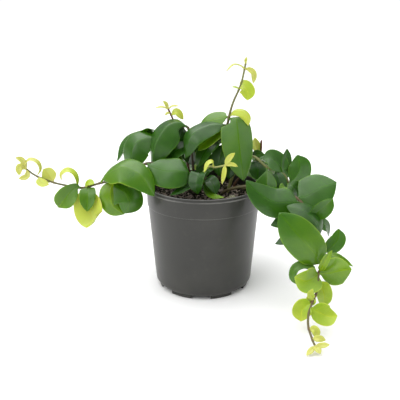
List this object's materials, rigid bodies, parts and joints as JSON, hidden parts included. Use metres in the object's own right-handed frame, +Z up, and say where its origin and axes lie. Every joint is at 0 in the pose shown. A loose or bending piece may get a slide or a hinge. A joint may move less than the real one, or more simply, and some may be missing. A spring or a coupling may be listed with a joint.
{
  "type": "potted lipstick plant",
  "caption": "Trailing houseplant with recurved, curled oval leaves on arching stems, in a plain round nursery pot filled with soil.",
  "frame": {"origin": "on the surface that the pot stands on, under the middle of the whole plant's box", "axes": "+Z up, +X towards the right-hand trailing stem as seen from the front, +Y towards the back"},
  "size_m": [0.326, 0.2444, 0.2406],
  "materials": {
    "pot_plastic": "satin",
    "potting_soil": "matte",
    "leaf_green": "satin",
    "young_leaf": "satin"
  },
  "bodies": {
    "root": {"pot": "pot_plastic", "soil": "potting_soil", "left_trailing_stem": "leaf_green", "back_left_stem": "leaf_green", "red_tip_stem": "leaf_green", "centre_upright_stem": "leaf_green", "front_star_shoot": "young_leaf", "right_upright_stub": "leaf_green", "right_arching_stem": "leaf_green", "right_trailing_stem": "leaf_green", "back_stem": "leaf_green", "back_right_stem": "leaf_green"}
  },
  "joints": []
}
